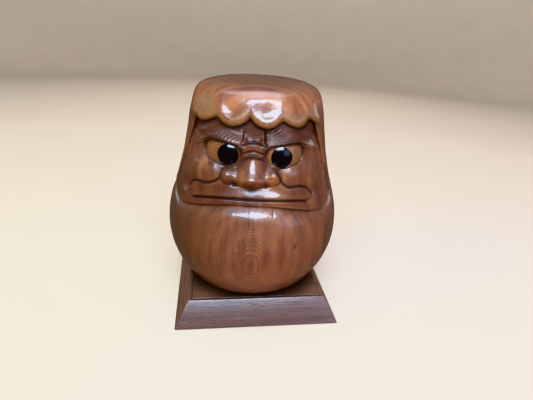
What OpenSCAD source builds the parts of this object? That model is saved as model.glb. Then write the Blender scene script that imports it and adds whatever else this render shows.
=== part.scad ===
// Carved wooden daruma doll on a low mitred stand.
// The origin is the middle of the stand's underside, +Z is up and the front of the stand faces -Y.
// Left and right are as seen from the front. Lengths are in millimetres and angles in degrees.

/* [Doll] */
// Height of the doll from its flat foot to its crown
doll_h = 195; // [180:1:210]
// Turn of the doll on its stand, seen from above, anticlockwise positive
doll_turn = -8; // [-180:1:180]
// Depth of the face below the edge of the hood
face_depth = 7; // [4:0.5:9]
// Diameter of each inlaid pupil
pupil_d = 18; // [15:0.5:19]
// How far the dome of a pupil stands out of its socket
pupil_dome = 2.6; // [1:0.1:4]

/* [Stand] */
// Width and depth of the stand at its foot
stand_w = 154; // [146:1:170]
// Height of the stand, felt pads included
stand_h = 23.5; // [20:0.5:30]
// Inward run of each sloped side, from foot to top
side_run = 12.8; // [8:0.1:16]
// Horizontal thickness of the sloped boards
board_t = 10.4; // [9:0.1:12]
// Thickness of the board let into the top
top_t = 8; // [7:0.5:9]
// Width of the rim that shows around the top board
rim_w = 3; // [2:0.5:4]
// Thickness of the felt pads
pad_t = 1; // [0.6:0.1:2]

/* [Locating dowel] */
// Diameter of the dowel
dowel_d = 10; // [8:0.5:12]
// Length of the dowel inside the stand's top board
dowel_in_stand = 6; // [4:0.5:6]
// Length of the dowel inside the doll
dowel_in_doll = 14; // [10:1:20]
// Radial clearance of the dowel in both holes
dowel_gap = 0.08; // [0.05:0.01:0.1]

/* [Hidden] */
$fn = 96;

// Colours
carved_wood = [0.58, 0.27, 0.12];
pupil_black = [0.03, 0.03, 0.03];
stand_wood = [0.36, 0.20, 0.16];
pale_wood = [0.72, 0.56, 0.38];
felt_green = [0.16, 0.22, 0.17];

// The doll is drawn for this height and scaled from it.
drawn_h = 195;
doll_scale = doll_h / drawn_h;

// Outline of the turned block, from the edge of the foot to the crown, as [radius, height].
outline = [
    [52, 0], [58.8, 2], [65.2, 8.5], [75, 24], [81.5, 43.5], [83, 64], [79.3, 86], [72.8, 107],
    [67.4, 129], [63.4, 151], [60.5, 169], [56, 183.5], [47, 190.3], [30, 193.9], [0, 195]
];
outline_spans = len(outline) - 1;

// Places on the face, as degrees from its middle and height above the foot
eye_angle = 20;
eye_height = 138.2;
pupil_toe = 12;
socket_depth = 9;
hem_low = 161.6;
hem_rise = 5.8;
hem_roll = 1.2;
collar_roll = 1.2;
// Angles at which one scallop of the hem ends and the next begins
scallop_ends = [[-69, 0], [-34.4, 1], [-4.2, 2], [24, 3], [53.4, 4], [82, 5]];
collar_curve = [
    [0, 100.3], [12, 99.3], [24.5, 96], [36, 91.6], [42.5, 89.5], [47, 89.7], [59.5, 94.9], [76, 101], [92, 104]
];
flap_curve = [
    [90, 74], [98, 75.5], [108, 75.5], [118, 73.5], [130, 69], [144, 63], [157, 57], [168, 53], [180, 51]
];
mouth_curve = [[0, 104.1], [12, 104.1], [22, 103.1], [31, 101.3], [43, 97.8]];

// Ring and column numbers. Rings 0, 1, 2 and 3 lie on the foot, the collar, the hem and the crown, and columns
// -1 and 1 on the edges of the side flaps, so that the steps between hood, face and belly stay clean.
belly_steps = [for (i = [0:9]) i / 10];
face_steps = [1, 1.012, for (i = [1:41]) 1 + i / 42, 1.985, 2];
hood_steps = [for (i = [1:6]) 2 + i / 9, 2.76, 2.85, 2.92, 2.98];
ring_steps = [each belly_steps, each face_steps, each hood_steps];
flap_columns = [-1, for (i = [-34:34]) i / 34.5, 1];
back_columns = [for (i = [1:19]) 1 + 2 * i / 20];
columns = [each flap_columns, each back_columns];

function lerp(a, b, t) = a + (b - a) * t;

// 0 at low and before it, 1 at high and past it; low may be the larger one
function ramp(low, high, x) = let (t = min(1, max(0, (x - low) / (high - low)))) t * t * (3 - 2 * t);

function knot(i) = outline[min(outline_spans, max(0, i))];

// Smooth curve through the outline's points (Catmull-Rom), by span number
function on_outline(u) =
    let (i = min(outline_spans - 1, floor(u)), t = u - i)
    let (p = knot(i - 1), q = knot(i), r = knot(i + 1), s = knot(i + 2))
    0.5 * (2 * q + (r - p) * t + (2 * p - 5 * q + 4 * r - s) * t * t
        + (3 * q - p - 3 * r + s) * t * t * t);

// Span number of the outline at a height
function span_at(z, low = 0, high = outline_spans) =
    let (mid = (low + high) / 2)
    high - low < 0.001 ? mid : on_outline(mid)[1] < z ? span_at(z, mid, high) : span_at(z, low, mid);

// Edges of the opening: height of the hem and of the collar, and angle of the side flaps
function hem_height(a) =
    hem_low + hem_rise * (1 - abs(sin(180 * lookup(a, scallop_ends)))) - 9 * ramp(64, 94, abs(a));
function collar_height(a) = lookup(abs(a), collar_curve);
function flap_angle(z) = lookup(z, flap_curve);

// Larger of two heights, blended where they are closer than k
function smooth_max(a, b, k) = let (h = max(k - abs(a - b), 0)) max(a, b) + h * h / k / 4;
function groove(d, width, depth) = -depth * exp(-pow(d / width, 2));

// Depth of the face's ground: deepest under the hem
function ground(z) = -face_depth * (0.45 + 0.55 * ramp(146, 157, z));

// Domes on the ground, the same on both sides of the face:
// [angle, height, half width in degrees, half height, top, fall to the edge]
domes = [
    [27, 151.5, 27, 9, 1, 6.5], // brow
    [24, 138, 16, 9.5, -0.4, 3.4], // eyeball
    [0, 141, 10, 15, 2.4, 6], // bridge of the nose
    [36, 123, 24, 12.5, 1.2, 5.2], // cheek
    [0, 107.5, 46, 13, -0.8, 3], // muzzle
    [0, 125, 12.5, 11, 10, 11], // tip of the nose
    [14, 123.6, 7.5, 8, 4.6, 7] // wing of the nose
];
dome_blend = 2.5;
function dome_height(d, m, z) =
    d[4] - d[5] * (pow((m - d[0]) / d[2], 2) + pow((z - d[1]) / d[3], 2));
function raised(h, m, z, i = 0) =
    i == len(domes) ? h : raised(smooth_max(h, dome_height(domes[i], m, z), dome_blend), m, z, i + 1);

// Relief inside the opening, cut by the mouth
function features(m, z) = raised(ground(z), m, z) + groove(z - lookup(m, mouth_curve), 2.3, 2.6) * ramp(50, 40, m);

// Height of the carving over the outline at an angle and a height
function relief(a, z, open) =
    (open ? features(abs(a), z) : 0)
    + hem_roll * exp(-pow((z - hem_height(a) - 4) / 5, 2)) * ramp(64, 50, abs(a))
    + collar_roll * exp(-pow((z - collar_height(a) + 4) / 5, 2)) * ramp(80, 66, abs(a));

// The block is a little fuller on its left than on its right.
function block_r(a, z) =
    on_outline(span_at(z))[0] + (0.65 - 1.05 * sin(a)) * min(1, (drawn_h - z) / 6);

// The cuts run straight back and a little down, as from a carver who faces the doll.
function cut_lean(a) = a * (1 - ramp(80, 50, abs(a)));
function cut_drop(a, z) =
    (0.3 + 0.0033 * (140 - z)) * ramp(86, 60, abs(a)) * ramp(184, 168, z) * ramp(84, 98, z);

function skin_point(u, v) =
    let (u_side = u > 2 ? u - 4 : u, a0 = 60 * u_side, hem = hem_height(a0), collar = collar_height(a0))
    let (z = v < 1 ? lerp(0, collar, v) : v < 2 ? lerp(collar, hem, v - 1) : lerp(hem, drawn_h, v - 2))
    let (flap = flap_angle(z), beyond = abs(u_side) - 1)
    let (a = abs(u_side) < 1 ? u_side * flap : sign(u_side) * lerp(flap, 180, beyond))
    let (r = block_r(a, z), h = relief(a, z, abs(u_side) < 1 && v > 1 && v < 2), lean = cut_lean(a))
    let (reach = h / max(cos(a - lean), 0.45))
    [r * sin(a) + reach * sin(lean), -r * cos(a) - reach * cos(lean), z + cut_drop(a, z) * h];

ring_n = len(columns);
ring_count = len(ring_steps);

// Closed skin of the carved block: rings joined by triangles, a flat foot and a crown point
module carved_skin() {
    points = [
        for (v = ring_steps) for (u = columns) skin_point(u, v),
        [0, 0, drawn_h]
    ];
    crown = len(points) - 1;
    faces = [
        [for (i = [0:ring_n - 1]) i],
        for (k = [0:ring_count - 2]) for (i = [0:ring_n - 1])
            let (j = (i + 1) % ring_n, low = k * ring_n, high = low + ring_n)
            each [[low + i, high + i, low + j], [low + j, high + i, high + j]],
        for (i = [0:ring_n - 1])
            let (last = (ring_count - 1) * ring_n)
            [last + i, crown, last + (i + 1) % ring_n]
    ];
    polyhedron(points, faces, convexity = 6);
}

// Moves to the doll's foot on the stand
module on_stand() {
    translate([0, 0, stand_h]) rotate([0, 0, doll_turn]) children();
}

// Moves to a pupil's seat, with +Z pointing out of the eye; side is -1 on the left and 1 on the right
eye_r = (block_r(0, eye_height) - 1.5) * doll_scale;
module at_pupil(side) {
    translate([
        side * eye_r * sin(eye_angle),
        -eye_r * cos(eye_angle),
        eye_height * doll_scale
    ])
        rotate([90, 0, side * pupil_toe]) children();
}

module doll_body() {
    color(carved_wood) on_stand() difference() {
        scale(doll_scale) carved_skin();
        translate([0, 0, -1]) cylinder(d = dowel_d + 2 * dowel_gap, h = dowel_in_doll + 1.5);
        for (side = [-1, 1])
            at_pupil(side) translate([0, 0, -socket_depth]) cylinder(d = pupil_d, h = socket_depth + 12);
    }
}

// Black plug with a domed head
module pupil(side) {
    dome_r = (pow(pupil_d / 2, 2) + pow(pupil_dome, 2)) / (2 * pupil_dome);
    color(pupil_black) on_stand() at_pupil(side) {
        translate([0, 0, -socket_depth]) cylinder(d = pupil_d, h = socket_depth);
        intersection() {
            cylinder(d = pupil_d, h = pupil_dome + 1);
            translate([0, 0, pupil_dome - dome_r]) sphere(r = dome_r);
        }
    }
}

module left_pupil() {
    pupil(-1);
}

module right_pupil() {
    pupil(1);
}

module locating_dowel() {
    color(pale_wood) translate([0, 0, stand_h - dowel_in_stand])
        cylinder(d = dowel_d, h = dowel_in_stand + dowel_in_doll);
}

// Board let into the rebate of the four sloped boards, with a blind hole for the dowel
top_w = stand_w - 2 * (side_run + rim_w);
module stand_top() {
    color(stand_wood) difference() {
        translate([-top_w / 2, -top_w / 2, stand_h - top_t]) cube([top_w, top_w, top_t]);
        translate([0, 0, stand_h - dowel_in_stand - 0.5])
            cylinder(d = dowel_d + 2 * dowel_gap, h = dowel_in_stand + 1);
    }
}

// Section of a sloped board: y runs inward from the outer edge of the foot, with a rebate for the top board
board_h = stand_h - pad_t;
inner_lean = side_run * (board_h - top_t) / board_h;
board_section = [
    [0, 0], [board_t, 0], [board_t + inner_lean, board_h - top_t], [side_run + rim_w, board_h - top_t],
    [side_run + rim_w, board_h], [side_run, board_h]
];

// Sloped board along the front, mitred at both ends
module sloped_board() {
    color(stand_wood) translate([0, 0, pad_t]) intersection() {
        translate([-stand_w / 2, -stand_w / 2, 0])
            rotate([90, 0, 90]) linear_extrude(stand_w) polygon(board_section);
        linear_extrude(board_h)
            polygon([[-stand_w / 2, -stand_w / 2], [stand_w / 2, -stand_w / 2], [0, 0]]);
    }
}

module stand_front() {
    sloped_board();
}

module stand_right() {
    rotate([0, 0, 90]) sloped_board();
}

module stand_back() {
    rotate([0, 0, 180]) sloped_board();
}

module stand_left() {
    rotate([0, 0, 270]) sloped_board();
}

// Triangular block glued into the front left corner, under the top board
block_h = board_h - top_t;
block_leg = 20;
module glue_block() {
    inner = stand_w / 2 - board_t;
    cavity = [[-inner, 0], [inner, 0], [inner - inner_lean, block_h], [inner_lean - inner, block_h]];
    corner = inner_lean - inner;
    color(pale_wood) translate([0, 0, pad_t]) intersection() {
        rotate([90, 0, 0]) linear_extrude(stand_w, center = true) polygon(cavity);
        rotate([90, 0, 90]) linear_extrude(stand_w, center = true) polygon(cavity);
        linear_extrude(block_h)
            polygon([[-inner, -inner], [corner + block_leg, -inner], [-inner, corner + block_leg]]);
    }
}

module glue_block_front_left() {
    glue_block();
}

module glue_block_front_right() {
    rotate([0, 0, 90]) glue_block();
}

module glue_block_back_right() {
    rotate([0, 0, 180]) glue_block();
}

module glue_block_back_left() {
    rotate([0, 0, 270]) glue_block();
}

// Round felt pad under a corner of the stand
pad_d = 8.4;
pad_inset = 6;
module pad(x_side, y_side) {
    reach = stand_w / 2 - pad_inset;
    color(felt_green) translate([x_side * reach, y_side * reach, 0]) cylinder(d = pad_d, h = pad_t);
}

module pad_front_left() {
    pad(-1, -1);
}

module pad_front_right() {
    pad(1, -1);
}

module pad_back_left() {
    pad(-1, 1);
}

module pad_back_right() {
    pad(1, 1);
}

doll_body();
left_pupil();
right_pupil();
locating_dowel();
stand_top();
stand_front();
stand_back();
stand_left();
stand_right();
glue_block_front_left();
glue_block_front_right();
glue_block_back_left();
glue_block_back_right();
pad_front_left();
pad_front_right();
pad_back_left();
pad_back_right();
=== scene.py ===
import itertools
import math

import bmesh
import bpy
import numpy as np
from mathutils import Matrix, Vector


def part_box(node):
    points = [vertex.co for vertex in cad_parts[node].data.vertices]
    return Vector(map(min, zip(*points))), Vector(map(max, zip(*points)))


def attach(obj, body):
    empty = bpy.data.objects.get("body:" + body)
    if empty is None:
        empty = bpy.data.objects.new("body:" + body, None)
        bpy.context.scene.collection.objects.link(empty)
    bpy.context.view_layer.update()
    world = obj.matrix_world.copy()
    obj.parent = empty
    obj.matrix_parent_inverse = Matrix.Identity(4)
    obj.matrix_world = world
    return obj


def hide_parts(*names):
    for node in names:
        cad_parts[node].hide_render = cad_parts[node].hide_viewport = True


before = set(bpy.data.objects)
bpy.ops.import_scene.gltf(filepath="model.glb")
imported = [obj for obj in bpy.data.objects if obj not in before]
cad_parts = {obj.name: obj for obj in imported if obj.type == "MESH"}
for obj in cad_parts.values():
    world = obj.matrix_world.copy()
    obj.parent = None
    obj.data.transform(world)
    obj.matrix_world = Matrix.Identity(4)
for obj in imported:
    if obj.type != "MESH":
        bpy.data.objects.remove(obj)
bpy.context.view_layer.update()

MM = 0.001


# ---------------------------------------------------------------- places taken from the frame

body_low, body_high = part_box("doll_body")
FOOT_Z = body_low.z / MM
DOLL_HEIGHT = (body_high.z - body_low.z) / MM
DOLL_WIDTH = min(body_high.x - body_low.x, body_high.y - body_low.y) / MM
left_low, left_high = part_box("left_pupil")
right_low, right_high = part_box("right_pupil")
eye_to_eye = (right_low + right_high) / 2 - (left_low + left_high) / 2
DOLL_TURN = math.atan2(eye_to_eye.y, eye_to_eye.x)

# ---------------------------------------------------------------- small maths


def ramp(low, high, x):
    """0 below low, 1 above high, smooth between. low may be the larger one."""
    t = np.clip((x - low) / (high - low), 0, 1)
    return t * t * (3 - 2 * t)


def bell(x, width):
    """1 at 0, and close to 0 two widths away."""
    return np.exp(-((x / width) ** 2))


def soft_max(a, b, blend):
    """The larger of two heights, rounded off where they differ by less than blend."""
    near = np.maximum(blend - np.abs(a - b), 0) / blend
    return np.maximum(a, b) + near * near * blend / 4


def smooth_path(points, per_span=8, closed=False):
    """A Catmull-Rom curve through points. A closed one doesn't repeat its first point."""
    points = np.array(points, float)
    count = len(points)
    t = np.linspace(0, 1, per_span, endpoint=False)[:, None]
    parts = []
    for i in range(count if closed else count - 1):
        near = np.arange(i - 1, i + 3)
        a, b, c, d = points[near % count if closed else np.clip(near, 0, count - 1)]
        square = 2 * a - 5 * b + 4 * c - d
        cube = 3 * b - a - 3 * c + d
        parts.append(0.5 * (2 * b + (c - a) * t + square * t**2 + cube * t**3))
    if not closed:
        parts.append(points[-1:])
    return np.concatenate(parts)


def noise(x, y, z, seed, scale):
    """Smooth value noise between -1 and 1, from a repeatable lattice."""
    cells = 32
    table = np.random.default_rng(seed).uniform(-1, 1, (cells, cells, cells))
    total = np.zeros_like(x)
    scaled = [axis / scale + 100.0 for axis in (x, y, z)]
    base = [np.floor(axis).astype(int) for axis in scaled]
    share = [ramp(0, 1, axis - low) for axis, low in zip(scaled, base)]
    for step in itertools.product((0, 1), repeat=3):
        weight = [part if up else 1 - part for part, up in zip(share, step)]
        cell = tuple((low + up) % cells for low, up in zip(base, step))
        total = total + weight[0] * weight[1] * weight[2] * table[cell]
    return total


# ---------------------------------------------------------------- outline of the block
# a is an angle in degrees from the middle of the face, positive to the viewer's right.
# z is millimetres above the doll's foot.

# Radius and height from the foot to the crown
OUTLINE = smooth_path(
    [
        (52, 0), (58.8, 2), (65.2, 8.5), (75, 24), (81.5, 43.5), (83, 64), (79.3, 86), (72.8, 107),
        (67.4, 129), (63.4, 151), (60.5, 169), (56, 183.5), (47, 190.3), (30, 193.9), (0, 195),
    ],
    24,
)
FULLER, LEANING = 0.65, 1.05  # the block is a little fuller on the viewer's left than on the right
INSIDE_CAD = 0.3
OUTLINE[:, 0] *= (DOLL_WIDTH / 2 - FULLER - INSIDE_CAD) / OUTLINE[:, 0].max()
CROWN_Z = OUTLINE[-1, 1]
FACE_RADIUS = 66
ARC = FACE_RADIUS * math.pi / 180  # millimetres of face for a degree


def block_radius(a, z):
    fuller = FULLER - LEANING * np.sin(np.radians(a))
    return np.interp(z, OUTLINE[:, 1], OUTLINE[:, 0]) + fuller * np.clip((CROWN_Z - z) / 6, 0, 1)


# Lower edge of the opening in the hood: angle and height, the same on both sides
COLLAR = smooth_path(
    [
        (0, 100.3), (12, 99.3), (24, 96), (36, 91.5), (43, 89.5),
        (48, 90), (60, 95), (67, 98), (76, 101), (92, 104),
    ]
)
# Side edge of the opening: height and angle, the same on both sides
FLAP = smooth_path([(90, 74), (98, 75.5), (108, 75.5), (118, 73.5), (144, 63), (168, 53), (180, 51)])
# Upper edge of the opening: the angles where two scallops of the hem meet
NOTCH = -4.2
SCALLOP_ENDS = [-99, -69, -34.4, NOTCH, 24, 53.4, 82, 111]
HEM_Z, HEM_WAVE = 161.6, 5.6
# Upper edge of the band of pale wood along the hem: angle and height
BAND = smooth_path(
    [
        (-90, 168), (-72, 176), (-41, 183), (-30, 172), (-21, 166), (-14, 170), (-4, 173.5), (8, 171),
        (14, 168), (25, 175), (38, 170), (52, 178), (60, 172), (66, 164), (90, 150),
    ]
)


def scallop(a):
    """The scallop wave: 0 between two scallops, 1 or -1 in the middle of one."""
    return np.sin(np.pi * np.interp(a, SCALLOP_ENDS, range(len(SCALLOP_ENDS))))


def hem_height(a):
    """Lowest in the middle of a scallop, highest between two, with a notch and a drop at the sides."""
    peak = 1 - (np.sqrt(scallop(a) ** 2 + 0.02) - 0.14) / 0.87
    z = HEM_Z + HEM_WAVE * peak + 1.6 * bell(a - NOTCH, 2.6)
    return z - 9 * ramp(64, 94, np.abs(a))


def collar_height(a):
    return np.interp(np.abs(a), COLLAR[:, 0], COLLAR[:, 1])


def flap_angle(z):
    return np.interp(z, FLAP[:, 0], FLAP[:, 1])


# ---------------------------------------------------------------- relief of the face
# Curves are angle and height. A curve for one side is for the viewer's right, and is mirrored for the left.

EYE_ANGLE, EYE_Z, EYE_TOE, PUPIL_RADIUS = 20.0, 138.2, 12.0, 9.0
EYE = [
    (9, 140), (11, 145), (17, 147), (25, 148), (34, 148.3), (38, 145.5),
    (38.5, 139), (35, 133), (27, 130.5), (18, 129), (12, 131), (9.5, 135.5),
]
LID = [(6, 139), (9, 143.5), (12, 146), (18, 147), (30, 148.5), (37, 147.5), (50, 142), (60, 138)]
EYE_CORNER = [(34, 148.5), (38, 148), (46, 144.5)]
LEFT_FROWN = [(-8, 160), (-7.5, 155), (-8, 150.5), (-10, 147)]
RIGHT_FROWN = [(8, 160.5), (8, 150.5), (10, 147)]
ROLLS = [[(-10, 146.5), (0, 150), (10, 146.5)], [(-8.5, 140.5), (0, 143.5), (8.5, 140.5)]]
NOSE_ROOT_Z, NOSE_TIP_Z = 136.9, 119
NOSE_WINGS = [(-16.2, 122.2), (14.6, 123)]
NOSTRILS, NOSTRIL_Z = (-11.8, 9.6), 116.2
LEFT_FOLD = [
    (-17.5, 129.5), (-21.5, 126), (-22.5, 120), (-25.5, 116), (-33, 112.3),
    (-41, 112), (-46, 109), (-49, 104), (-48.5, 99.5),
]
RIGHT_FOLD = [
    (16, 129), (18.5, 123), (21, 118), (25.5, 114), (34, 113.5), (41, 110.5), (45, 104.5), (45.5, 100.5),
]
MOUTH = [(-45, 96.5), (-31, 101), (-12, 104), (12, 104), (31, 102), (42, 99)]
# Strokes of the eyebrows: low end and high end of each
LEFT_BROW = [((-49, 149.5), (-46, 155)), ((-45, 151.5), (-39.5, 156))]
LEFT_BROW += [((-35.5 + 2.9 * i, 153.8 - 0.75 * i), (-30.6 + 2.9 * i, 158.2 - 0.8 * i)) for i in range(8)]
BROW_TIPS = [(25, 150), (26.5, 152.5), (27, 155), (26, 157.5), (24, 160), (20.5, 162), (16, 163)]
RIGHT_BROW = [((9.6, 149.6 + 1.15 * i), tip) for i, tip in enumerate(BROW_TIPS)]


def mirrored(points, side):
    """A curve as it is for side 1, or turned over for side -1."""
    return [(side * angle, height) for angle, height in points]


class Carving:
    """The face while it is carved. x is the angle as millimetres of arc, rise is the height over the
    block's outline, and cut is 1 deep in a knife groove or where shade is painted beside one, and 0 away from
    them."""

    def __init__(self, a, z):
        self.a, self.z, self.x = a, z, a * ARC
        self.aside = np.abs(a)
        self.cut = np.zeros_like(a)
        self.rise = self.ground()

    def near(self, points, closed=False):
        """Distance to a curve, positive on its left as it runs, and the place along it from 0 to 1."""
        curve = smooth_path([(angle * ARC, height) for angle, height in points], 5, closed)
        if closed:
            curve = np.vstack([curve, curve[:1]])
        best = np.full(self.x.shape, np.inf)
        side, place = np.ones(self.x.shape), np.zeros(self.x.shape)
        for i, ((start_x, start_z), (end_x, end_z)) in enumerate(zip(curve[:-1], curve[1:])):
            dx, dz = end_x - start_x, end_z - start_z
            px, pz = self.x - start_x, self.z - start_z
            t = np.clip((px * dx + pz * dz) / (dx * dx + dz * dz), 0, 1)
            squared = (px - t * dx) ** 2 + (pz - t * dz) ** 2
            nearer = squared < best
            best[nearer] = squared[nearer]
            side[nearer] = np.where(dx * pz - dz * px < 0, -1, 1)[nearer]
            place[nearer] = ((i + t) / (len(curve) - 1))[nearer]
        return np.sqrt(best) * side, place

    def mark(self, share):
        """Darkens places by share: knife grooves, and painted shade beside and under carved edges."""
        self.cut = np.maximum(self.cut, share)

    def groove(self, points, deep, width=0.75, lip=0.0, start=0.1, stop=0.1):
        """A knife groove along a curve, fading at both ends, with a raised lip on its right side and painted
        shade in it.
        """
        off, place = self.near(points)
        fade = ramp(0, start, place) * ramp(1, 1 - stop, place)
        self.rise = self.rise + (lip * bell(off + 2.4 * width, 2.2 * width) - deep * bell(off, width)) * fade
        self.mark(min(1, 0.6 * deep) * bell(off, 1.15 * width) * fade)

    def pit(self, share, deep):
        # sinks a hollow and paints shade in it
        self.rise = self.rise - deep * share
        self.mark(share)

    def ground(self):
        """A dark hollow under the hem, and a shallow channel beside the side flaps and above the collar."""
        by_flap = (flap_angle(self.z) - self.aside) * ARC
        by_collar = self.z - collar_height(self.a)
        rise = -1.9 - 1.6 * ramp(150, 156, self.z)
        rise = rise - 3.4 * ramp(11, 7, self.aside) * ramp(147.5, 150.5, self.z)
        rise = rise - 0.9 * ramp(6, 0, by_flap) - 2.2 * ramp(5, 0, by_collar)
        return rise - 1.2 * ramp(54, 40, self.aside) * ramp(110, 104, self.z)

    def brow_and_cheek(self, side):
        """A thick ridge that overhangs the eye, and a smooth bulge under it."""
        a = side * self.a
        lid = self.near(mirrored(LID, side))[0] * side
        crest = 1.4 + 1.6 * bell(a - 27, 14) - 3.0 * ramp(40, 56, a) - 1.2 * ramp(9, 4, a)
        brow = crest - 6 * ramp(1.5, 13, lid) - 3 * ramp(0, -2, lid) * ramp(54, 42, a)
        self.rise = soft_max(self.rise, brow, 1.8)
        self.rise = self.rise + 3.6 * bell(self.x - side * 33 * ARC, 19) * bell(self.z - 122.5, 9.5)

    def muzzle_and_bridge(self):
        """The swelling above the mouth, and the bridge between the eyes."""
        x, z = self.x, self.z
        self.rise = self.rise + 1.5 * bell(x, 30) * bell(z - 108.5, 7)
        self.rise = self.rise + 1.3 * bell(x - 20, 11) * bell(z - 106.3, 4.2)
        bridge = 2.4 - 7.5 * (x / 13) ** 2 - 10 * ramp(147.5, 152, z) - 4 * ramp(134, 126, z)
        self.rise = soft_max(self.rise, bridge, 2.0)

    def eye(self, side):
        """A ball that is flat round the pupil and falls away to the lids, with a line of painted shade under
        the lid.
        """
        off = self.near(mirrored(EYE, side), True)[0] * side  # positive outside the eye
        away = np.hypot(self.x - side * EYE_ANGLE * ARC, self.z - EYE_Z)
        seat = (block_radius(0, EYE_Z) - 1.5) * math.cos(math.radians(EYE_ANGLE - EYE_TOE))
        ball = seat / np.cos(np.radians(side * self.a - EYE_TOE)) - block_radius(self.a, self.z)
        ball = ball + 0.25 - 0.125 * np.maximum(away - PUPIL_RADIUS + 0.6, 0) ** 1.6
        close = bell(np.maximum(off, 0), 3.2)
        self.rise = self.rise + np.maximum(ball + 1.3 - self.rise, 0) * close
        inside = ramp(0.35, -0.35, off)
        self.rise = self.rise * (1 - inside) + ball * inside - 0.45 * bell(off + 0.2, 0.5)
        upper = ramp(136, 144, self.z)
        # painted shade round the eye outline, widest as a shadow under the upper lid
        self.mark(bell(off - 0.8 * upper, 0.6 + 1.5 * upper) * (0.5 + 0.5 * upper))
        self.groove(mirrored(EYE_CORNER, side), 1.6, 0.7, stop=0.45)

    def nose(self):
        """A sloping ridge that ends in a round tip, with a wing and a nostril on each side."""
        x, z = self.x, self.z
        below = np.clip(NOSE_ROOT_Z - z, 0, 17.5)
        wide = 9.6 + 0.36 * below
        nose = 6.0 + 0.42 * below - 0.008 * below**2 - 8.5 * np.abs(x / wide) ** 1.9
        nose = nose + 1.5 * bell(x, 7) * bell(z - NOSE_TIP_Z, 4.5)
        root = NOSE_ROOT_Z - 0.016 * x**2
        nose = nose - 5 * np.maximum(z - root, 0) - 0.34 * np.maximum(119.6 - z, 0) ** 2
        for angle, height in NOSE_WINGS:
            wing = ((x - angle * ARC) / 8.8) ** 2 + ((z - height) / 7.4) ** 2
            nose = soft_max(nose, 7.2 - 8.0 * wing, 6.5)
        beside = self.rise - nose
        self.rise = soft_max(self.rise, nose, 0.6)
        self.rise = self.rise - 0.9 * bell(z - root - 0.9, 0.8) * ramp(12, 9, np.abs(x))
        # painted shade along the nose's root and round its lower edge
        self.mark(0.9 * bell(z - root - 0.6, 0.9) * ramp(13, 9, np.abs(x)))
        self.mark(0.8 * bell(beside - 0.6, 1.1) * ramp(124, 118, z) * (np.abs(x) < 26))
        for angle in NOSTRILS:
            self.pit(bell(x - angle * ARC, 2.2) * bell(z - NOSTRIL_Z, 1.6), 2.4)
        # the hollow under the tip
        self.pit(bell(x + 0.4, 5) * bell(z - 111.5, 2.6), 0.5)

    def fold(self, side, points):
        """The cheek ends in a rounded edge over the muzzle."""
        off, place = self.near(points)
        off = off * -side
        fade = ramp(0, 0.08, place) * ramp(1, 0.84, place)
        self.rise = self.rise - 1.3 * bell(off, 0.75) * fade
        self.rise = self.rise - 1.5 * ramp(0.9, -0.9, off) * bell(np.minimum(off, 0), 8) * fade
        self.rise = self.rise + 1.6 * ramp(-0.4, 2.0, off) * bell(np.maximum(off - 2, 0), 6) * fade
        # painted shade along the fold
        self.mark(bell(off, 1.05) * fade)

    def mouth(self):
        """A long knife groove with a full upper lip and a faint lower one, and painted shade in it that is
        wider towards the viewer's left.
        """
        off, place = self.near(MOUTH)
        fade = ramp(0, 0.09, place) * ramp(1, 0.9, place)
        self.rise = self.rise - 2.1 * bell(off, 0.8) * fade
        self.rise = self.rise + 1.0 * ramp(-0.5, 0.8, off) * bell(np.maximum(off - 0.8, 0), 3.2) * fade
        self.rise = self.rise + 0.6 * bell(off + 2.3, 1.5) * fade
        self.mark(bell(off, 0.85 + 0.35 * ramp(4, -16, self.a)) * fade)

    def eyebrows(self):
        """Short strokes on the left brow, bent a little, and a fan of straight ones on the right."""
        for low, high in LEFT_BROW:
            middle = [0.45 * start + 0.55 * end for start, end in zip(low, high)]
            bent = (middle[0] - 0.5, middle[1] + 0.5)
            self.groove([low, bent, high], 0.38, 0.5, 0.1, 0.3, 0.4)
        for low, high in RIGHT_BROW:
            self.groove([low, high], 0.8, 0.5, 0.3, 0.1, 0.45)


def relief(a, z):
    """Height of the face over the block's outline, and each place's shares of knife grooves with painted
    shade, and of eyeball.
    """
    face = Carving(a, z)
    for side in (-1, 1):
        face.brow_and_cheek(side)
    face.muzzle_and_bridge()
    for side in (-1, 1):
        face.eye(side)
    face.groove(LEFT_FROWN, 0.9, 0.7, 0.4)
    face.groove(RIGHT_FROWN, 2.4, 0.85, 0.8)
    for roll in ROLLS:
        face.groove(roll, 1.7, 0.75, 1.0)
    face.nose()
    face.fold(-1, LEFT_FOLD)
    face.fold(1, RIGHT_FOLD)
    face.mouth()
    face.eyebrows()
    balls = sum(ramp(0.2, -0.6, face.near(mirrored(EYE, side), True)[0] * side) for side in (-1, 1))
    return face.rise, face.cut, balls


# ---------------------------------------------------------------- carved body


def steps(*spans):
    """Rising numbers: each span is (start, stop, count)."""
    coarser = 1
    parts = [np.linspace(low, high, max(2, count // coarser), endpoint=False) for low, high, count in spans]
    return np.concatenate(parts)


# Angles of the side flaps that the rows along the hem and the collar are laid out for
HEM_REACH, COLLAR_REACH = 60, 66
# Drying cracks of the belly: angle, low end and high end
CRACKS = [(-0.8, 77, 101), (14.5, 87, 98), (-24, 91, 97)]
KNOT_ANGLE, KNOT_Z = 28.8, 63.1
# Chips in the varnish of the belly: angle, height and size
CHIPS = [(-7.2, 62, 0.9), (-0.5, 65.7, 0.75), (9.6, 64.5, 0.6), (-22, 70.4, 0.5)]
BELLY_ARC = 1.45  # millimetres of belly for a degree


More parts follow.
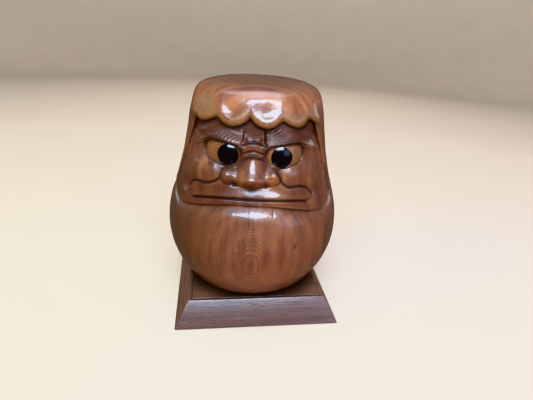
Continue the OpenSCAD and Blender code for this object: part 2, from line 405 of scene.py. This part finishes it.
def grid():
    """Row, column, angle and height of each place, and its height above the hem and above the collar. Rows
    count from 0 at the foot over 1 along the collar and 2 along the hem to 3 at the crown. Columns count from
    0 in the middle of the face over 1 along a side flap to 2 in the middle of the back, and below 0 on the
    viewer's left. So these edges have points along them and stay crisp."""
    rows = steps(
        (0.01, 0.85, 46), (0.85, 1, 22), (1, 1.03, 6), (1.03, 1.93, 114),
        (1.93, 2, 14), (2, 2.25, 20), (2.25, 2.9, 24), (2.9, 2.99, 7),
    )
    half = steps((0, 0.93, 118), (0.93, 1.0, 14), (1.0, 1.06, 10), (1.06, 2.0, 50))
    column, row = np.meshgrid(np.concatenate([-half[:0:-1], half, [2.0]]), rows)
    hem, collar = hem_height(column * HEM_REACH), collar_height(column * COLLAR_REACH)
    opening = collar + (row - 1) * (hem - collar)
    hood = hem + (row - 2) * (CROWN_Z - hem)
    z = np.where(row < 1, row * collar, np.where(row < 2, opening, hood))
    flap = flap_angle(z)
    past = np.maximum(np.abs(column) - 1, 0)
    a = np.where(np.abs(column) < 1, column * flap, np.sign(column) * (flap + past * (180 - flap)))
    return row, column, a, z, z - hem, z - collar


def body_grid():
    """Angle, height, radius of the block and rise over it for each place of the body, and its shares of knife
    grooves with painted shade, pale band, eye and painted shade in the hollows."""
    row, column, a, z, above_hem, above_collar = grid()
    aside = np.abs(a)
    in_flap = (flap_angle(z) - aside) * ARC
    between = (row > 1) & (row < 2)
    inside = ramp(0, 0.9, -above_hem) * ramp(-0.2, 0.7, above_collar) * ramp(-0.2, 0.8, in_flap) * between
    face, cut, eye = relief(a, z)
    # the hood: a raised rim along the hem, a scoop over each scallop, and a notch in the middle
    swell = scallop(a) ** 2
    past_hem = np.maximum(above_hem, 0)
    over = ramp(-9, 1, in_flap)
    rim = (1.3 + 0.9 * swell) * bell(past_hem - 3.6, 5.5)
    scoop = (0.9 - 1.4 * swell) * bell(past_hem - 13, 9)
    hood = ramp(76, 56, aside) * (rim + scoop) - 2.4 * np.exp(-past_hem / 1.6) * over
    hood = hood - 1.8 * bell((a - NOTCH) * ARC, 1.2) * np.exp(-past_hem / 3.5)
    # the belly's shoulder rolls in to the collar
    under = np.maximum(-above_collar, 0)
    shoulder = -4.1 * np.clip(1 - under / 16, 0, 1) ** 2 - 0.7 * np.exp(-under / 0.5)
    shoulder = shoulder * ramp(94, 76, aside)
    behind_flap = np.abs(column) >= 1
    flaps = -1.0 * np.exp(-np.maximum(-in_flap, 0) / 1.3) * ramp(86, 100, z) * behind_flap
    outer = np.where(row >= 2, hood, np.where(row <= 1, shoulder, flaps))
    rise = outer * (1 - inside) + face * inside
    # pale wood along the hem and down the edge of the right side flap
    in_band = ramp(1.2, -1.2, z - np.interp(a, BAND[:, 0], BAND[:, 1])) * ramp(92, 78, aside)
    on_flap = 0.4 * ramp(-6, -3, in_flap) * ramp(138, 156, z) * (column >= 1) * (row < 2)
    band = np.maximum(np.where(row >= 2, in_band, 0), on_flap)
    # painted shade under the hem and along the side flaps
    hem_shade = 0.95 * bell(np.maximum(-above_hem - 1.6, 0), 2.2) * ramp(0.8, -0.4, above_hem) * over
    flap_shade = 0.55 * bell(in_flap - 0.3, 0.6) * between
    cut = np.maximum(cut * inside, np.maximum(hem_shade, flap_shade))
    # uneven knife work, and drying cracks down the belly
    turn = np.radians(a)
    radius = block_radius(a, z)
    x, y = radius * np.sin(turn), -radius * np.cos(turn)
    rise = rise + 0.22 * noise(x, y, z, 3, 16) + 0.10 * noise(x, y, z, 5, 6.5) * ramp(0.6, 0, inside)
    for angle, low, high in CRACKS:
        gap = bell((a - angle - 0.25 * np.sin(z / 3.1)) * ARC, 0.4)
        gap = gap * ramp(low, low + 6, z) * ramp(high + 1, high - 1, z)
        rise = rise - 0.3 * gap
        cut = np.maximum(cut, 0.8 * gap)
    # a small knot and a few chips in the varnish of the belly
    knot = bell((a - KNOT_ANGLE) * BELLY_ARC - 0.35 * (z - KNOT_Z), 1.3) * bell(z - KNOT_Z, 3.0)
    cut = np.maximum(cut, 0.9 * knot)
    for angle, height, size in CHIPS:
        chip = bell((a - angle) * BELLY_ARC, size) * bell(z - height, 1.3 * size)
        rise = rise - 0.25 * chip
        band = np.maximum(band, chip)
    # painted shade in the hollows of the face, on the muzzle and over the forehead under the hood
    muzzle = (0.6 - 0.2 * ramp(0, 20, a)) * ramp(118, 110, z) * (face < 3)
    painted_shade = np.maximum(0.6 * ramp(0.5, -4.5, face), np.maximum(muzzle, 0.9 * ramp(146, 152, z)))
    shares = {"cut": np.clip(cut, 0, 1), "band": np.clip(band, 0, 1)}
    shares.update({"eye": eye * inside, "painted_shade": inside * painted_shade})
    return a, z, radius, rise, shares


def body_points():
    """Places of the body in millimetres, and their shares. The cuts run straight back and a little down, as
    they do from a carver who faces the doll."""
    a, z, radius, rise, shares = body_grid()
    turn, aside = np.radians(a), np.abs(a)
    lean = turn * (1 - ramp(80, 50, aside))
    drop = 0.30 + 0.0033 * (140 - z)
    drop = drop * ramp(86, 60, aside) * ramp(184, 168, z) * ramp(84, 98, z)
    reach = rise / np.maximum(np.cos(turn - lean), 0.45)
    x = radius * np.sin(turn) + reach * np.sin(lean)
    y = -radius * np.cos(turn) - reach * np.cos(lean)
    return np.stack([x, y, z + drop * rise], -1), shares


def make_body():
    """One closed mesh: the grid, closed with a fan of triangles at the foot and one at the crown."""
    points, shares = body_points()
    rows, columns = points.shape[0], points.shape[1] - 1  # the last column is the first one again
    points = points[:, :columns].reshape(-1, 3)
    points = np.vstack([points, [[0, 0, 0], [0, 0, CROWN_Z]]])
    c, s = math.cos(DOLL_TURN), math.sin(DOLL_TURN)
    turned = points @ np.array([[c, s, 0], [-s, c, 0], [0, 0, DOLL_HEIGHT / CROWN_Z]])
    placed = turned + [0, 0, FOOT_Z]
    row, here = np.meshgrid(np.arange(rows - 1), np.arange(columns), indexing="ij")
    after = (here + 1) % columns
    low, high = row * columns, (row + 1) * columns
    quads = np.stack([low + here, low + after, high + after, high + here], -1).reshape(-1, 4)
    here, after = here[0], after[0]
    last = (rows - 1) * columns
    foot, crown = np.full(columns, rows * columns), np.full(columns, rows * columns + 1)
    foot_fan = np.stack([after, here, foot], -1)
    crown_fan = np.stack([last + here, last + after, crown], -1)
    caps = np.concatenate([foot_fan, crown_fan])
    mesh = bpy.data.meshes.new("carved_body")
    mesh.vertices.add(len(placed))
    mesh.vertices.foreach_set("co", (placed * MM).ravel())
    loops = np.concatenate([quads.ravel(), caps.ravel()])
    mesh.loops.add(len(loops))
    mesh.loops.foreach_set("vertex_index", loops)
    starts = np.concatenate([np.arange(len(quads)) * 4, quads.size + np.arange(len(caps)) * 3])
    mesh.polygons.add(len(starts))
    mesh.polygons.foreach_set("loop_start", starts)
    mesh.update(calc_edges=True)
    mesh.validate()
    mesh.shade_smooth()
    for name, values in shares.items():
        layer = mesh.attributes.new(name, "FLOAT", "POINT")
        layer.data.foreach_set("value", np.append(values[:, :columns].ravel(), [0, 0]))
    piece = bpy.data.objects.new("carved_body", mesh)
    bpy.context.scene.collection.objects.link(piece)
    return piece


# ---------------------------------------------------------------- materials


class Shader:
    """A node material built a line at a time."""

    def __init__(self, name, sockets):
        self.material = bpy.data.materials.new(name)
        self.material.use_nodes = True
        self.tree = self.material.node_tree
        self.bsdf = self.tree.nodes["Principled BSDF"]
        for socket, value in sockets.items():
            self.bsdf.inputs[socket].default_value = value

    def join(self, source, socket):
        if isinstance(source, bpy.types.NodeSocket):
            self.tree.links.new(source, socket)
        elif source is not None:
            socket.default_value = source

    def node(self, kind, out=0, sockets=(), **settings):
        """Adds a node and gives its output. An input takes another node's output or a plain value."""
        made = self.tree.nodes.new(kind)
        for key, value in settings.items():
            setattr(made, key, value)
        for key, value in dict(sockets).items():
            self.join(value, made.inputs[key])
        return made.outputs[out]

    def place(self):
        """The place in metres in the piece's own frame, so the figure moves with the piece."""
        return self.node("ShaderNodeTexCoord", "Object")

    def math(self, operation, a, b=None, c=None):
        return self.node("ShaderNodeMath", 0, {0: a, 1: b, 2: c}, operation=operation)

    def stretch(self, vector, scale):
        return self.node("ShaderNodeMapping", 0, {"Vector": vector, "Scale": scale})

    def length(self, vector):
        return self.node("ShaderNodeVectorMath", "Value", {0: vector}, operation="LENGTH")

    def noise(self, vector, scale, detail=2.0, roughness=0.5, distortion=0.0):
        sockets = {"Vector": vector, "Scale": scale, "Detail": detail}
        sockets.update({"Roughness": roughness, "Distortion": distortion})
        return self.node("ShaderNodeTexNoise", 0, sockets)

    def between(self, value, low, high, to_low=0.0, to_high=1.0):
        """to_low where value is low, to_high where it is high, smooth between."""
        sockets = {"Value": value, "From Min": low, "From Max": high, "To Min": to_low, "To Max": to_high}
        return self.node("ShaderNodeMapRange", 0, sockets, interpolation_type="SMOOTHSTEP")

    def mix(self, share, a, b):
        made = self.tree.nodes.new("ShaderNodeMix")
        made.data_type = "RGBA"
        share_input, a_input, b_input, colour_output = 0, 6, 7, 2  # the ones for colours, among all kinds
        for value, index in ((share, share_input), (a, a_input), (b, b_input)):
            self.join((*value, 1) if isinstance(value, tuple) else value, made.inputs[index])
        return made.outputs[colour_output]

    def attribute(self, name):
        return self.node("ShaderNodeAttribute", "Fac", attribute_name=name)

    def bump(self, height, distance, normal=None):
        sockets = {"Height": height, "Distance": distance, "Strength": 1.0, "Normal": normal}
        return self.node("ShaderNodeBump", 0, sockets)

    def drive(self, name, value):
        """Links a value to an input of the surface."""
        self.join(value, self.bsdf.inputs[name])


FLAT = (1, 1, 0)  # presses a place flat on the floor
# The pith stands in front of the doll, so the rings show as tall ovals on the belly
PITH = Matrix.Rotation(DOLL_TURN, 3, "Z") @ Vector((0.007, -0.148, 0.075))
PITH_LEAN = math.radians(-9)
RING, RING_WOBBLE = 0.0009, 0.005


def growth_rings(nodes, place):
    """Growth rings round the pith: 0 in pale early wood and 1 in the thin dark late wood, and a share that
    changes slowly from one group of rings to the next."""
    shifted = nodes.node("ShaderNodeVectorMath", 0, {0: place, 1: PITH}, operation="SUBTRACT")
    bend = nodes.noise(nodes.stretch(place, (14, 14, 5)), 1.0, 2.0)
    leaning = nodes.node("ShaderNodeMapping", 0, {"Vector": shifted, "Rotation": (PITH_LEAN, 0, 0)})
    ray = nodes.length(nodes.stretch(leaning, FLAT))
    depth = nodes.math("MULTIPLY_ADD", bend, RING_WOBBLE, ray)
    count = nodes.math("DIVIDE", depth, RING)
    phase = nodes.math("FRACT", count)
    late = nodes.math("MULTIPLY", nodes.between(phase, 0.25, 0.86), nodes.between(phase, 1.0, 0.9))
    groups = {"W": count, "Scale": 0.12, "Detail": 2.0}
    return late, nodes.node("ShaderNodeTexNoise", 0, groups, noise_dimensions="1D")


def carved_wood():
    """Varnished, oiled softwood: rings, vertical fibres, painted shade in the cuts and hollows and on the
    left flank, and painted floor light towards the foot.
    """
    nodes = Shader("carved_wood", {"Specular IOR Level": 0.35, "Coat Roughness": 0.2, "Coat IOR": 1.5})
    place = nodes.place()
    late, broad = growth_rings(nodes, place)
    fibre = nodes.noise(nodes.stretch(place, (900, 900, 38)), 1.0, 3.0, 0.6)
    streak = nodes.noise(nodes.stretch(place, (170, 170, 7)), 1.0, 3.0, 0.6)
    cloud = nodes.noise(place, 22.0, 3.0, 0.55)
    flame = nodes.noise(nodes.stretch(place, (48, 48, 9)), 1.0, 3.0, 0.6, 0.5)
    cut, band, eye, painted_shade = (nodes.attribute(name) for name in ("cut", "band", "eye", "painted_shade"))
    height = nodes.node("ShaderNodeSeparateXYZ", "Z", {"Vector": place})
    across = nodes.node("ShaderNodeSeparateXYZ", "X", {"Vector": place})
    aside = nodes.math("ABSOLUTE", across, 0.0)
    hood = nodes.between(height, 0.190, 0.204)
    # ground colour, with a stronger figure on top of the hood
    colour = nodes.mix(nodes.between(broad, 0.38, 0.64), (0.052, 0.027, 0.019), (0.084, 0.044, 0.031))
    figure = nodes.mix(nodes.between(broad, 0.37, 0.63), (0.110, 0.047, 0.036), (0.25, 0.120, 0.062))
    colour = nodes.mix(nodes.math("MULTIPLY", hood, 0.85), colour, figure)
    colour = nodes.mix(nodes.between(streak, 0.35, 0.7, 0.0, 0.4), colour, (0.185, 0.084, 0.042))
    # paler towards the foot as painted floor light, golden flames above the belly, dark clouds, and painted
    # shade on the left flank
    colour = nodes.mix(nodes.between(height, 0.072, 0.040, 0.0, 0.55), colour, (0.135, 0.074, 0.050))
    upper = nodes.between(height, 0.105, 0.130, 0.15, 0.65)
    flames = nodes.math("MULTIPLY", nodes.between(flame, 0.46, 0.66), upper)
    colour = nodes.mix(flames, colour, (0.225, 0.110, 0.048))
    colour = nodes.mix(nodes.between(cloud, 0.45, 0.72, 0.0, 0.45), colour, (0.078, 0.027, 0.016))
    # painted shade on the left flank below the face
    below_face = nodes.between(height, 0.125, 0.105)
    painted_left_shade = nodes.math("MULTIPLY", below_face, nodes.between(across, -0.025, -0.075, 0.0, 0.75))
    colour = nodes.mix(painted_left_shade, colour, (0.045, 0.024, 0.014))
    # rings, pale band and eyes, painted shade in the hollows, fibres, and painted shade in the knife grooves
    # with the real cracks and knot
    rings = nodes.math("MULTIPLY", late, nodes.between(cloud, 0.3, 0.6, 0.75, 0.45))
    colour = nodes.mix(rings, colour, (0.060, 0.022, 0.013))
    pale = nodes.math("MULTIPLY", band, nodes.between(streak, 0.3, 0.6, 0.85, 0.6))
    colour = nodes.mix(pale, colour, (0.130, 0.080, 0.042))
    colour = nodes.mix(nodes.math("MULTIPLY", eye, 0.5), colour, (0.125, 0.072, 0.032))
    colour = nodes.mix(painted_shade, colour, (0.045, 0.019, 0.013))
    colour = nodes.mix(nodes.between(fibre, 0.42, 0.66, 0.0, 0.3), colour, (0.10, 0.036, 0.018))
    colour = nodes.mix(nodes.math("MULTIPLY", cut, 0.88), colour, (0.016, 0.007, 0.006))
    nodes.drive("Base Color", colour)
    nodes.drive("Roughness", nodes.between(cut, 0.0, 1.0, 0.40, 0.62))
    # the varnish is thin at the temples, in the cuts and where shade is painted in the hollows
    beside_face = nodes.between(aside, 0.040, 0.052)
    temple = nodes.math("MULTIPLY", beside_face, nodes.between(height, 0.145, 0.160, 0.0, 0.75))
    worn = nodes.math("MAXIMUM", temple, nodes.math("MULTIPLY", painted_shade, 0.8))
    worn = nodes.math("MAXIMUM", worn, nodes.math("MULTIPLY", cut, 0.85))
    nodes.drive("Coat Weight", nodes.math("SUBTRACT", 1.0, worn))
    # the grain is under the varnish, whose own skin is a little wavy
    grain = nodes.math("SUBTRACT", nodes.math("MULTIPLY", fibre, 0.35), nodes.math("MULTIPLY", late, 0.35))
    wavy = nodes.bump(nodes.noise(place, 85.0, 2.0), 0.0006)
    skin = nodes.noise(nodes.stretch(place, (520, 520, 60)), 1.0, 2.0)
    nodes.drive("Normal", nodes.bump(grain, 0.00025))
    nodes.drive("Coat Normal", nodes.bump(skin, 0.00007, wavy))
    return nodes.material


def stand_wood(name, along, warm, painted_contact_shadow=0.0):
    """Dark oiled hardwood with its grain along x or y. warm is the share of the lighter, redder wood; a
    larger share paints warm light on a board.
    painted_contact_shadow is how much darker the wood is painted where the doll's shadow falls on it."""
    coat = 0.2 if painted_contact_shadow else 0.6
    nodes = Shader(name, {"Coat Weight": coat, "Coat Roughness": 0.2})
    place = nodes.place()

    def lengthwise(long, wide):
        """Stretches a place so that noise runs along the grain."""
        return nodes.stretch(place, (long, wide, wide) if along == "x" else (wide, long, wide))

    grain = nodes.noise(lengthwise(9, 190), 1.0, 4.0, 0.62, 0.4)
    pore = nodes.noise(lengthwise(90, 1500), 1.0, 1.0)
    cloud = nodes.noise(place, 16.0, 2.0)
    colour = nodes.mix(nodes.between(grain, 0.3, 0.7), (0.034, 0.020, 0.020), (0.060, 0.036, 0.035))
    colour = nodes.mix(nodes.between(cloud, 0.4, 0.7, 0.5 * warm, warm), colour, (0.150, 0.082, 0.048))
    colour = nodes.mix(nodes.between(pore, 0.6, 0.7, 0.0, 0.45), colour, (0.012, 0.006, 0.005))
    # painted contact shadow: near black round the doll's foot
    if painted_contact_shadow:
        ray = nodes.length(nodes.stretch(place, FLAT))
        in_contact_shadow = nodes.between(ray, 0.058, 0.080, painted_contact_shadow, 0.0)
        colour = nodes.mix(in_contact_shadow, colour, (0.008, 0.005, 0.004))
    nodes.drive("Base Color", colour)
    nodes.drive("Roughness", nodes.between(grain, 0.3, 0.7, 0.46, 0.30))
    height = nodes.math("SUBTRACT", grain, nodes.between(pore, 0.6, 0.7, 0.0, 0.5))
    nodes.drive("Normal", nodes.bump(height, 0.00018))
    return nodes.material


def pupil_black():
    """Polished black inlay."""
    gloss = {"Specular IOR Level": 0.2, "Coat Weight": 1.0, "Coat Roughness": 0.13}
    nodes = Shader("pupil_black", {"Base Color": (0.004, 0.003, 0.004, 1), **gloss})
    place = nodes.place()
    scuff = nodes.noise(place, 420.0, 3.0, 0.6)
    nodes.drive("Roughness", nodes.between(scuff, 0.4, 0.75, 0.2, 0.3))
    nodes.drive("Normal", nodes.bump(nodes.noise(place, 240.0, 1.0), 0.00002))
    return nodes.material


def pale_wood():
    """Plain softwood of the hidden pieces."""
    nodes = Shader("pale_wood", {"Roughness": 0.7})
    place = nodes.place()
    grain = nodes.noise(nodes.stretch(place, (260, 260, 18)), 1.0, 4.0, 0.6, 0.5)
    colour = nodes.mix(nodes.between(grain, 0.3, 0.7), (0.33, 0.19, 0.09), (0.56, 0.38, 0.21))
    nodes.drive("Base Color", colour)
    nodes.drive("Normal", nodes.bump(grain, 0.0002))
    return nodes.material


def felt():
    """Pressed felt, fuzzy and dark."""
    nodes = Shader("felt", {"Roughness": 0.95, "Sheen Weight": 0.6, "Sheen Roughness": 0.6})
    place = nodes.place()
    fuzz = nodes.noise(place, 2600.0, 4.0, 0.75, 0.8)
    colour = nodes.mix(nodes.between(fuzz, 0.3, 0.7), (0.012, 0.018, 0.015), (0.045, 0.06, 0.05))
    nodes.drive("Base Color", colour)
    nodes.drive("Normal", nodes.bump(fuzz, 0.0003))
    return nodes.material


# ---------------------------------------------------------------- pieces

body = make_body()
body.data.materials.append(carved_wood())
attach(body, "doll")
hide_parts("doll_body")

EASED = 0.55 * MM


def board(name, material):
    """A board of the stand with its edges eased, in the place of the CAD one."""
    shape = bmesh.new()
    shape.from_mesh(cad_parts[name].data)
    bmesh.ops.remove_doubles(shape, verts=shape.verts, dist=1e-6)
    bmesh.ops.dissolve_limit(shape, angle_limit=0.01, verts=shape.verts, edges=shape.edges)
    shared = [edge for edge in shape.edges if len(edge.link_faces) == 2]
    sharp = [edge for edge in shared if edge.calc_face_angle(0) > 0.3]
    how = {"segments": 3, "profile": 0.6, "affect": "EDGES", "clamp_overlap": True}
    bmesh.ops.bevel(shape, geom=sharp, offset=EASED, **how)
    mesh = bpy.data.meshes.new(name + "_eased")
    shape.to_mesh(mesh)
    shape.free()
    mesh.shade_smooth()
    mesh.set_sharp_from_angle(angle=math.radians(35))
    mesh.materials.append(material)
    piece = bpy.data.objects.new(name + "_eased", mesh)
    bpy.context.scene.collection.objects.link(piece)
    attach(piece, "stand")
    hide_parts(name)


# the side and top boards take more of the lighter, redder wood as painted warm light on them; the front and
# back take little
along_x = stand_wood("stand_wood_x", "x", 0.1)
along_y = stand_wood("stand_wood_y", "y", 0.9)
board("stand_front", along_x)
board("stand_back", along_x)
board("stand_left", along_y)
board("stand_right", along_y)
board("stand_top", stand_wood("stand_wood_top", "x", 0.8, 0.87))

# The pupils, the pads, the glue blocks and the dowel are the CAD's own, with new materials
black, pale, soft = pupil_black(), pale_wood(), felt()
for name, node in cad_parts.items():
    if name == "doll_body" or name.startswith("stand_"):
        continue
    node.data.materials.clear()
    node.data.materials.append(black if "pupil" in name else soft if "pad" in name else pale)

# ---------------------------------------------------------------- studio

CAMERA_AT = Vector((-46.5, -378.2, 257.4)) * MM
HEADING, PITCH, ROLL = math.radians(8.9), math.radians(22.72), math.radians(3.5)

camera = bpy.data.cameras.new("camera")
camera.sensor_width = 36.0
camera.lens = 27.389
camera.clip_start = 0.01
viewer = bpy.data.objects.new("camera", camera)
viewer.location = CAMERA_AT
tilt = Matrix.Rotation(math.pi / 2 - PITCH, 4, "X")
aim = Matrix.Rotation(-HEADING, 4, "Z") @ tilt @ Matrix.Rotation(ROLL, 4, "Z")
viewer.rotation_euler = aim.to_euler()
bpy.context.scene.collection.objects.link(viewer)
bpy.context.scene.camera = viewer


def soft_light(name, at, look, size, power, colour, mirrored_in_gloss=True):
    """An elliptical light at a place, turned to look at another, with its width, height and watts."""
    light = bpy.data.lights.new(name, "AREA")
    light.shape = "ELLIPSE"
    light.size, light.size_y = size
    light.energy = power
    light.color = colour
    lamp = bpy.data.objects.new(name, light)
    lamp.location = at
    lamp.rotation_euler = (Vector(look) - Vector(at)).to_track_quat("-Z", "Y").to_euler()
    lamp.visible_glossy = mirrored_in_gloss
    bpy.context.scene.collection.objects.link(lamp)


soft_light("window", (-0.15, -1.25, 1.22), (0, 0, 0.14), (1.8, 0.56), 70, (0.62, 0.80, 1.0))
soft_light("sky", (0.0, -1.0, 1.95), (0, 0, 0.1), (2.6, 1.2), 20, (0.60, 0.74, 1.0))
soft_light("ceiling", (0.0, 0.0, 1.9), (0, 0, 0.2), (2.2, 1.3), 36, (0.72, 0.76, 1.0))
soft_light("low_sky", (1.15, -1.2, 0.5), (0, 0, 0.1), (1.3, 1.0), 7, (0.58, 0.68, 1.0))
soft_light("behind", (0.3, 1.5, 1.1), (0, 0, 0.12), (1.4, 1.0), 14, (1.0, 0.90, 0.80), False)
soft_light("side_left", (-1.6, 1.15, 0.36), (0, 0, 0.12), (0.6, 0.3), 1.5, (0.78, 0.88, 1.0))
soft_light("side_right", (1.9, 0.95, 0.36), (0, 0, 0.12), (0.6, 0.3), 1.5, (0.78, 0.88, 1.0))
soft_light("table", (0.0, -0.95, 0.018), (0, 0, 0.03), (1.4, 0.036), 16, (1.0, 0.76, 0.62), False)
soft_light("warm_left", (-1.3, -0.3, 0.55), (0, 0, 0.12), (0.8, 0.8), 19, (1.0, 0.93, 0.28), False)
soft_light("warm_right", (1.2, -0.5, 0.5), (0, 0, 0.12), (0.6, 0.7), 10, (1.0, 0.70, 0.42), False)


def cove():
    """Round floor and backdrop in one seamless sheet, its outline turned about the middle."""
    reach, radius, height, sides = 1.9, 0.7, 2.6, 72
    line = [(0.3, 0.0), (0.8, 0.0), (reach, 0.0)]
    for t in np.radians(np.linspace(7.5, 90, 12)):
        line.append((reach + radius * math.sin(t), radius * (1 - math.cos(t))))
    line.append((reach + radius, height))
    mesh = bpy.data.meshes.new("floor")
    around = [2 * math.pi * i / sides for i in range(sides)]
    points = [(r * math.cos(t), r * math.sin(t), z) for r, z in line for t in around]
    faces = [tuple(range(sides))]
    for k in range(len(line) - 1):
        for i in range(sides):
            j = (i + 1) % sides
            faces.append((k * sides + i, (k + 1) * sides + i, (k + 1) * sides + j, k * sides + j))
    mesh.from_pydata(points, [], faces)
    mesh.shade_smooth()
    nodes = Shader("floor", {"Roughness": 0.55})
    speck = nodes.noise(nodes.place(), 9.0, 3.0)
    nodes.drive("Base Color", nodes.mix(speck, (0.45, 0.385, 0.31), (0.50, 0.43, 0.35)))
    mesh.materials.append(nodes.material)
    piece = bpy.data.objects.new("floor", mesh)
    bpy.context.scene.collection.objects.link(piece)
    piece.visible_glossy = False


cove()

world = bpy.data.worlds.new("studio")
world.use_nodes = True
world.node_tree.nodes["Background"].inputs["Color"].default_value = (1.0, 0.86, 0.75, 1)
world.node_tree.nodes["Background"].inputs["Strength"].default_value = 0.20
bpy.context.scene.world = world
view = bpy.context.scene.view_settings
view.view_transform = "Khronos PBR Neutral"
view.gamma = 0.85
